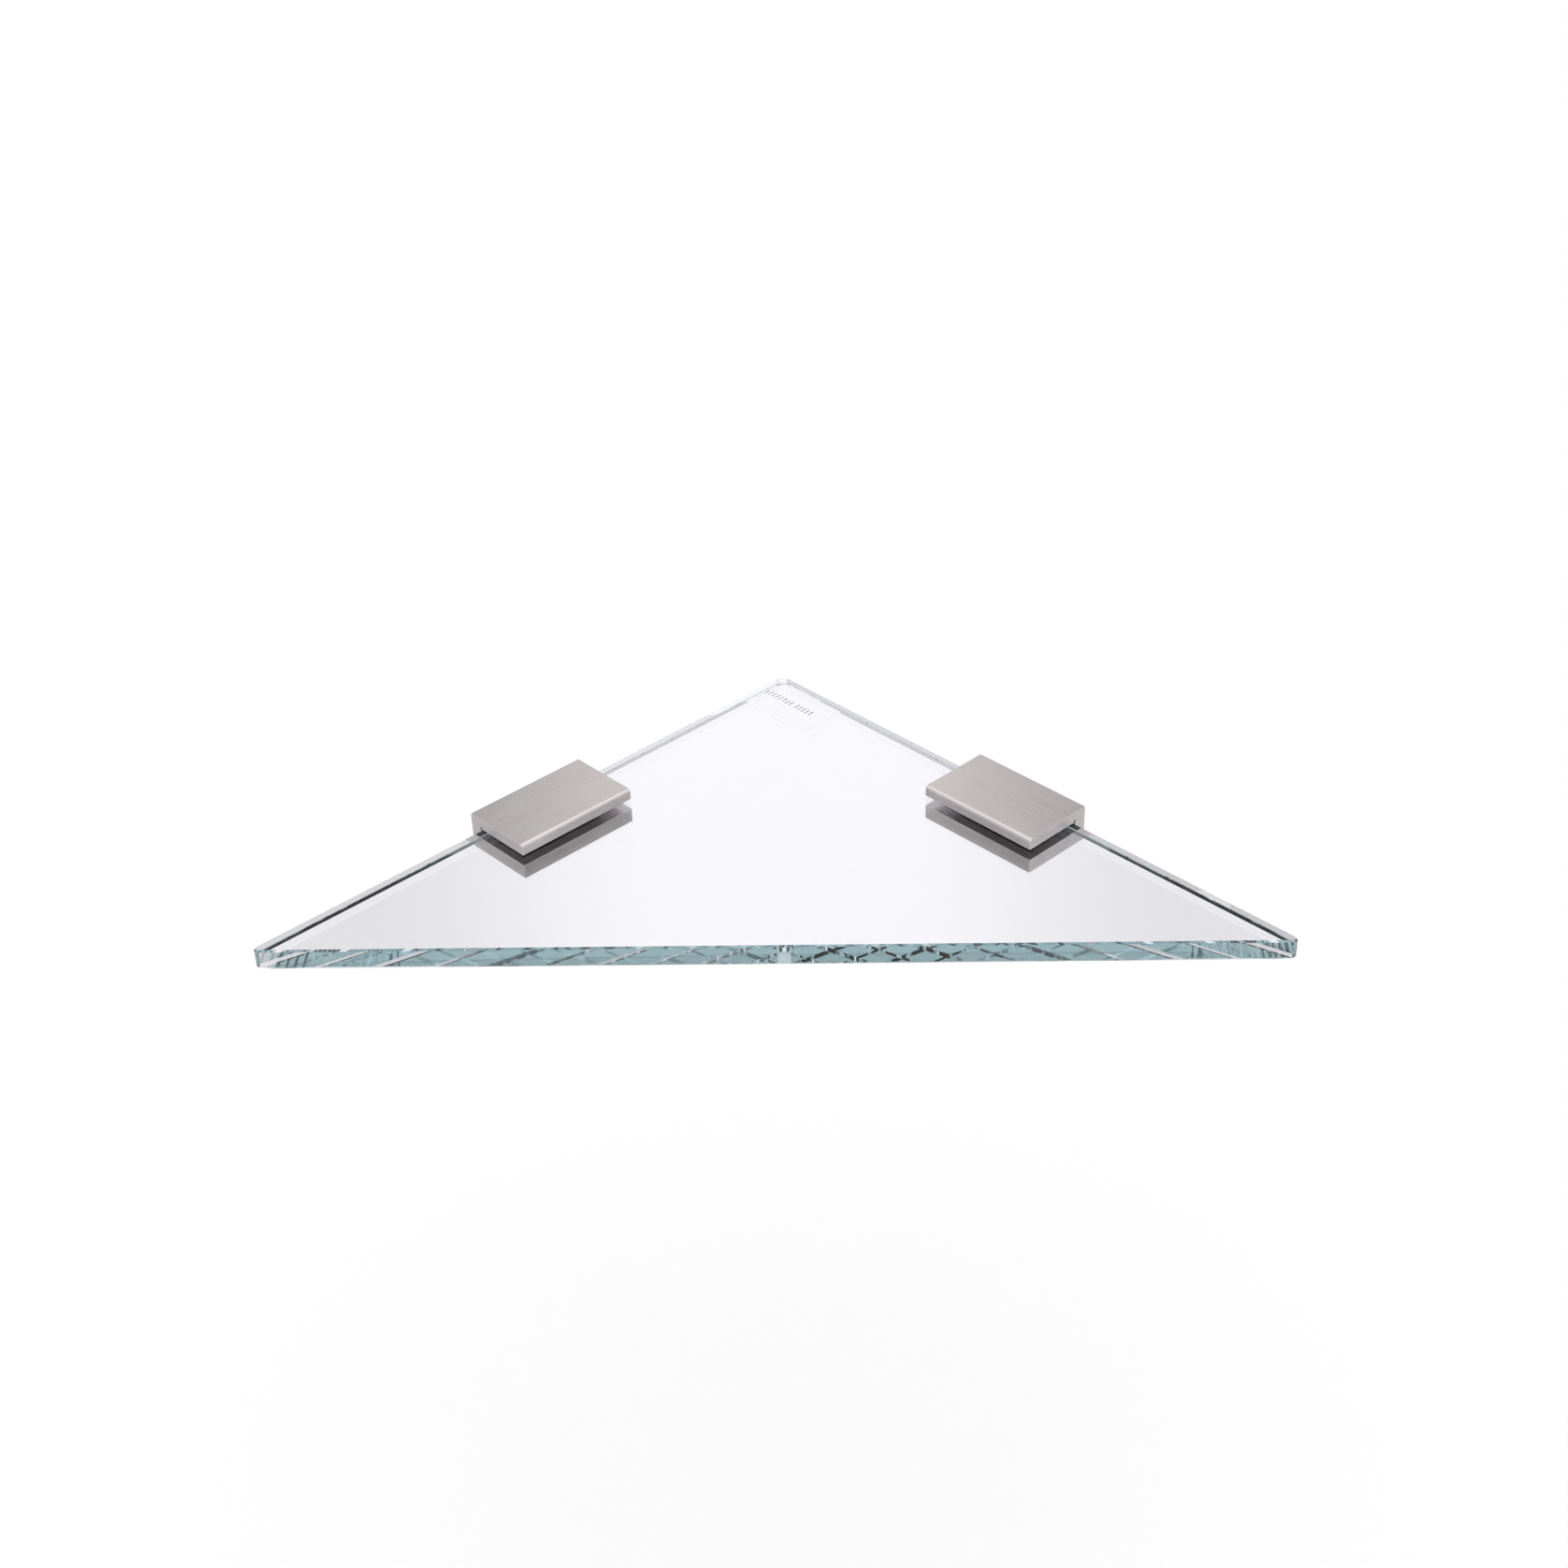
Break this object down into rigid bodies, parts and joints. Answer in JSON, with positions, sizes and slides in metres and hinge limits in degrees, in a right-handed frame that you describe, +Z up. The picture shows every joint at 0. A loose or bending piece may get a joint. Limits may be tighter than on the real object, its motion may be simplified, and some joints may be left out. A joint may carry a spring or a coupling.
{
  "type": "glass corner shelf with wall clamps",
  "caption": "Triangular clear glass corner shelf with a polished edge, gripped at mid-leg by slotted brushed steel clamps that fix to the two walls.",
  "frame": {"origin": "under the middle of the shelf's plan, level with the undersides of the clamps", "axes": "+X along the glass's front edge, +Y into the corner of the room, +Z up"},
  "size_m": [0.3542, 0.1778, 0.0186],
  "materials": {
    "glass": "clear float glass, polished edge with a pale green tint",
    "clear_film": "thin clear self-adhesive film",
    "brushed_steel": "warm grey stainless steel, brushed along the wall",
    "plated_steel": "zinc-plated steel",
    "black_rubber": "matt black rubber",
    "black_steel": "black oxide steel"
  },
  "bodies": {
    "clamps": {"clamp_body_left": "brushed_steel", "wall_plate_left": "plated_steel", "upper_pad_left": "black_rubber", "clamp_body_right": "brushed_steel", "wall_plate_right": "plated_steel", "upper_pad_right": "black_rubber"},
    "glass": {"glass_shelf": "glass", "film_label": "clear_film"},
    "lock_left": {"lock_screw_left": "black_steel"},
    "press_left_inner": {"pressure_pad_left_inner": "black_rubber"},
    "screw_left_inner": {"clamp_screw_left_inner": "black_steel"},
    "press_left_outer": {"pressure_pad_left_outer": "black_rubber"},
    "screw_left_outer": {"clamp_screw_left_outer": "black_steel"},
    "lock_right": {"lock_screw_right": "black_steel"},
    "press_right_inner": {"pressure_pad_right_inner": "black_rubber"},
    "screw_right_inner": {"clamp_screw_right_inner": "black_steel"},
    "press_right_outer": {"pressure_pad_right_outer": "black_rubber"},
    "screw_right_outer": {"clamp_screw_right_outer": "black_steel"}
  },
  "joints": [
    {"name": "glass_slides_out", "type": "slide", "parent": "clamps", "child": "glass", "axis": [0, -1, 0], "range_m": [0, 0.06]},
    {"name": "lock_turn_left", "type": "hinge", "parent": "clamps", "child": "lock_left", "pos_m": [-0.09217, 0.0033, 0.001], "axis": [0, 0, 1], "range_deg": [-720, 0]},
    {"name": "pad_lift_left_inner", "type": "slide", "parent": "clamps", "child": "press_left_inner", "axis": [0, 0, 1], "range_m": [-0.0008, 0]},
    {"name": "screw_turn_left_inner", "type": "hinge", "parent": "press_left_inner", "child": "screw_left_inner", "pos_m": [-0.0735, 0.00019, 0.0004], "axis": [0, 0, 1], "range_deg": [-360, 0]},
    {"name": "pad_lift_left_outer", "type": "slide", "parent": "clamps", "child": "press_left_outer", "axis": [0, 0, 1], "range_m": [-0.0008, 0]},
    {"name": "screw_turn_left_outer", "type": "hinge", "parent": "press_left_outer", "child": "screw_left_outer", "pos_m": [-0.08906, -0.01537, 0.0004], "axis": [0, 0, 1], "range_deg": [-360, 0]},
    {"name": "lock_turn_right", "type": "hinge", "parent": "clamps", "child": "lock_right", "pos_m": [0.09217, 0.0033, 0.001], "axis": [0, 0, 1], "range_deg": [-720, 0]},
    {"name": "pad_lift_right_inner", "type": "slide", "parent": "clamps", "child": "press_right_inner", "axis": [0, 0, 1], "range_m": [-0.0008, 0]},
    {"name": "screw_turn_right_inner", "type": "hinge", "parent": "press_right_inner", "child": "screw_right_inner", "pos_m": [0.0735, 0.00019, 0.0004], "axis": [0, 0, 1], "range_deg": [-360, 0]},
    {"name": "pad_lift_right_outer", "type": "slide", "parent": "clamps", "child": "press_right_outer", "axis": [0, 0, 1], "range_m": [-0.0008, 0]},
    {"name": "screw_turn_right_outer", "type": "hinge", "parent": "press_right_outer", "child": "screw_right_outer", "pos_m": [0.08906, -0.01537, 0.0004], "axis": [0, 0, 1], "range_deg": [-360, 0]}
  ],
  "couplings": [
    {"joint": "screw_turn_left_inner", "follows": "pad_lift_left_inner", "rad_per_m": 7854},
    {"joint": "screw_turn_left_outer", "follows": "pad_lift_left_outer", "rad_per_m": 7854},
    {"joint": "screw_turn_right_inner", "follows": "pad_lift_right_inner", "rad_per_m": 7854},
    {"joint": "screw_turn_right_outer", "follows": "pad_lift_right_outer", "rad_per_m": 7854}
  ]
}
